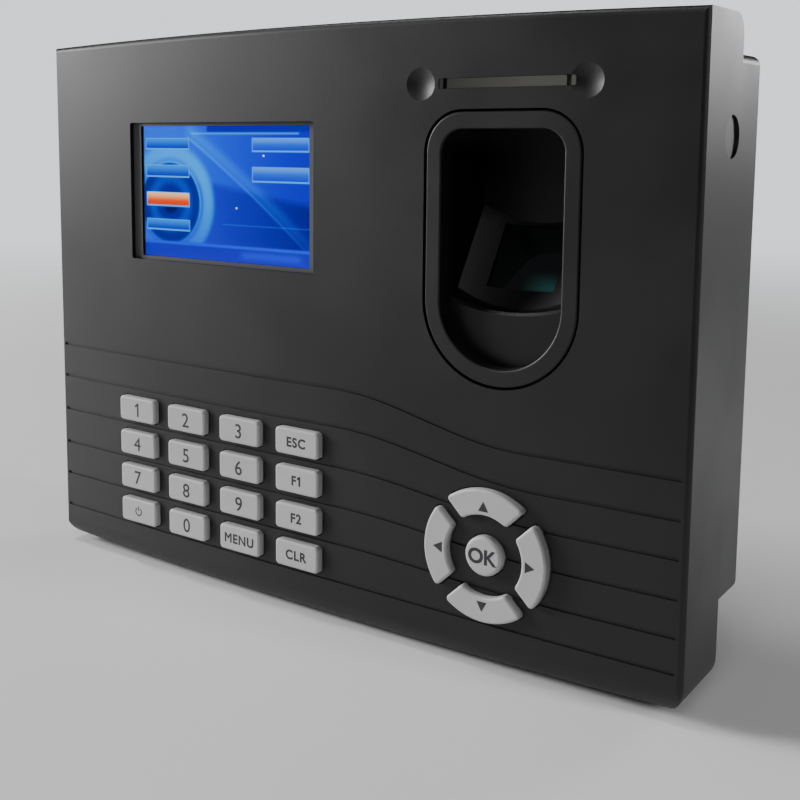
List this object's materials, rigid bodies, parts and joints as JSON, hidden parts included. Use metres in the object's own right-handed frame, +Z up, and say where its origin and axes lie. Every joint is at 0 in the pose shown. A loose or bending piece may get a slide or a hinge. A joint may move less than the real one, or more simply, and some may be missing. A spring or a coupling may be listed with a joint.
{
  "type": "fingerprint scanner terminal",
  "caption": "Wall-mounted access terminal with a finger well, colour display, rubber-dome keypad, ring of arrow keys and a steel wall plate over a connector bay.",
  "frame": {"origin": "centre of the wall plate's hole pattern, on the plane of the wall", "axes": "+X to the right for someone facing the terminal, +Y into the wall, +Z up"},
  "size_m": [0.18, 0.0427, 0.1408],
  "materials": {
    "cover_plastic": "fine spark-textured black",
    "plate_steel": "zinc plated",
    "screw_steel": "zinc plated",
    "silicone": "matte translucent grey",
    "circuit_board": "green solder mask",
    "ribbon_film": "amber polyimide",
    "window_glass": "clear acrylic with a black printed border",
    "display_panel": "lit colour display",
    "tin_steel": "tin plated",
    "light_pipe": "smoked translucent acrylic",
    "led_lens": "clear epoxy",
    "well_plastic": "smooth black",
    "prism_glass": "polished, coated",
    "socket_plastic": "moulded black",
    "chip_resin": "moulded black epoxy",
    "cell_steel": "bright",
    "terminal_plastic": "moulded green",
    "button_plastic": "moulded off-white",
    "key_plastic": "satin light grey paint, dark print"
  },
  "bodies": {
    "terminal": {"board_screws": "screw_steel", "card_antenna": "circuit_board", "cell_holder": "socket_plastic", "coin_cell": "cell_steel", "cover_screws": "screw_steel", "front_cover": "cover_plastic", "indicator_board": "circuit_board", "indicator_leds": "led_lens", "keypad_board": "circuit_board", "keypad_mat": "silicone", "keypad_ribbon": "ribbon_film", "lcd_frame": "tin_steel", "lcd_panel": "display_panel", "lcd_ribbon": "ribbon_film", "lcd_window": "window_glass", "light_bar": "light_pipe", "main_board": "circuit_board", "main_board_chips": "chip_resin", "nav_board": "circuit_board", "nav_mat": "silicone", "network_socket": "tin_steel", "plate_lock_screw": "screw_steel", "power_socket": "socket_plastic", "rear_cover": "cover_plastic", "reset_switch": "tin_steel", "sensor_bezel": "cover_plastic", "sensor_board": "circuit_board", "sensor_housing": "well_plastic", "sensor_leds": "led_lens", "sensor_lens": "socket_plastic", "sensor_prism": "prism_glass", "sensor_well": "well_plastic", "speaker": "socket_plastic", "tamper_switch": "socket_plastic", "terminal_block": "terminal_plastic", "usb_socket": "tin_steel", "wall_plate": "plate_steel"},
    "key_1": {"key_1": "key_plastic"},
    "key_2": {"key_2": "key_plastic"},
    "key_3": {"key_3": "key_plastic"},
    "key_esc": {"key_esc": "key_plastic"},
    "key_4": {"key_4": "key_plastic"},
    "key_5": {"key_5": "key_plastic"},
    "key_6": {"key_6": "key_plastic"},
    "key_f1": {"key_f1": "key_plastic"},
    "key_7": {"key_7": "key_plastic"},
    "key_8": {"key_8": "key_plastic"},
    "key_9": {"key_9": "key_plastic"},
    "key_f2": {"key_f2": "key_plastic"},
    "key_power": {"key_power": "key_plastic"},
    "key_0": {"key_0": "key_plastic"},
    "key_menu": {"key_menu": "key_plastic"},
    "key_clear": {"key_clear": "key_plastic"},
    "nav_right": {"nav_right": "key_plastic"},
    "nav_up": {"nav_up": "key_plastic"},
    "nav_left": {"nav_left": "key_plastic"},
    "nav_down": {"nav_down": "key_plastic"},
    "nav_ok": {"nav_ok": "key_plastic"},
    "tamper_plunger": {"tamper_plunger": "button_plastic"},
    "reset_button": {"reset_button": "button_plastic"}
  },
  "joints": [
    {"name": "press_key_1", "type": "slide", "parent": "terminal", "child": "key_1", "axis": [0, 1, 0], "range_m": [0, 0.001], "stiffness_N_per_m": 800, "springref_m": -0.0006},
    {"name": "press_key_2", "type": "slide", "parent": "terminal", "child": "key_2", "axis": [0, 1, 0], "range_m": [0, 0.001], "stiffness_N_per_m": 800, "springref_m": -0.0006},
    {"name": "press_key_3", "type": "slide", "parent": "terminal", "child": "key_3", "axis": [0, 1, 0], "range_m": [0, 0.001], "stiffness_N_per_m": 800, "springref_m": -0.0006},
    {"name": "press_key_esc", "type": "slide", "parent": "terminal", "child": "key_esc", "axis": [0, 1, 0], "range_m": [0, 0.001], "stiffness_N_per_m": 800, "springref_m": -0.0006},
    {"name": "press_key_4", "type": "slide", "parent": "terminal", "child": "key_4", "axis": [0, 1, 0], "range_m": [0, 0.001], "stiffness_N_per_m": 800, "springref_m": -0.0006},
    {"name": "press_key_5", "type": "slide", "parent": "terminal", "child": "key_5", "axis": [0, 1, 0], "range_m": [0, 0.001], "stiffness_N_per_m": 800, "springref_m": -0.0006},
    {"name": "press_key_6", "type": "slide", "parent": "terminal", "child": "key_6", "axis": [0, 1, 0], "range_m": [0, 0.001], "stiffness_N_per_m": 800, "springref_m": -0.0006},
    {"name": "press_key_f1", "type": "slide", "parent": "terminal", "child": "key_f1", "axis": [0, 1, 0], "range_m": [0, 0.001], "stiffness_N_per_m": 800, "springref_m": -0.0006},
    {"name": "press_key_7", "type": "slide", "parent": "terminal", "child": "key_7", "axis": [0, 1, 0], "range_m": [0, 0.001], "stiffness_N_per_m": 800, "springref_m": -0.0006},
    {"name": "press_key_8", "type": "slide", "parent": "terminal", "child": "key_8", "axis": [0, 1, 0], "range_m": [0, 0.001], "stiffness_N_per_m": 800, "springref_m": -0.0006},
    {"name": "press_key_9", "type": "slide", "parent": "terminal", "child": "key_9", "axis": [0, 1, 0], "range_m": [0, 0.001], "stiffness_N_per_m": 800, "springref_m": -0.0006},
    {"name": "press_key_f2", "type": "slide", "parent": "terminal", "child": "key_f2", "axis": [0, 1, 0], "range_m": [0, 0.001], "stiffness_N_per_m": 800, "springref_m": -0.0006},
    {"name": "press_key_power", "type": "slide", "parent": "terminal", "child": "key_power", "axis": [0, 1, 0], "range_m": [0, 0.001], "stiffness_N_per_m": 800, "springref_m": -0.0006},
    {"name": "press_key_0", "type": "slide", "parent": "terminal", "child": "key_0", "axis": [0, 1, 0], "range_m": [0, 0.001], "stiffness_N_per_m": 800, "springref_m": -0.0006},
    {"name": "press_key_menu", "type": "slide", "parent": "terminal", "child": "key_menu", "axis": [0, 1, 0], "range_m": [0, 0.001], "stiffness_N_per_m": 800, "springref_m": -0.0006},
    {"name": "press_key_clear", "type": "slide", "parent": "terminal", "child": "key_clear", "axis": [0, 1, 0], "range_m": [0, 0.001], "stiffness_N_per_m": 800, "springref_m": -0.0006},
    {"name": "press_nav_right", "type": "slide", "parent": "terminal", "child": "nav_right", "axis": [0, 1, 0], "range_m": [0, 0.001], "stiffness_N_per_m": 800, "springref_m": -0.0006},
    {"name": "press_nav_up", "type": "slide", "parent": "terminal", "child": "nav_up", "axis": [0, 1, 0], "range_m": [0, 0.001], "stiffness_N_per_m": 800, "springref_m": -0.0006},
    {"name": "press_nav_left", "type": "slide", "parent": "terminal", "child": "nav_left", "axis": [0, 1, 0], "range_m": [0, 0.001], "stiffness_N_per_m": 800, "springref_m": -0.0006},
    {"name": "press_nav_down", "type": "slide", "parent": "terminal", "child": "nav_down", "axis": [0, 1, 0], "range_m": [0, 0.001], "stiffness_N_per_m": 800, "springref_m": -0.0006},
    {"name": "press_nav_ok", "type": "slide", "parent": "terminal", "child": "nav_ok", "axis": [0, 1, 0], "range_m": [0, 0.001], "stiffness_N_per_m": 800, "springref_m": -0.0006},
    {"name": "press_tamper_plunger", "type": "slide", "parent": "terminal", "child": "tamper_plunger", "axis": [0, -1, 0], "range_m": [0, 0.0015], "stiffness_N_per_m": 500, "springref_m": -0.0006},
    {"name": "press_reset_button", "type": "slide", "parent": "terminal", "child": "reset_button", "axis": [0, -1, 0], "range_m": [0, 0.0005], "stiffness_N_per_m": 800, "springref_m": -0.0005}
  ]
}
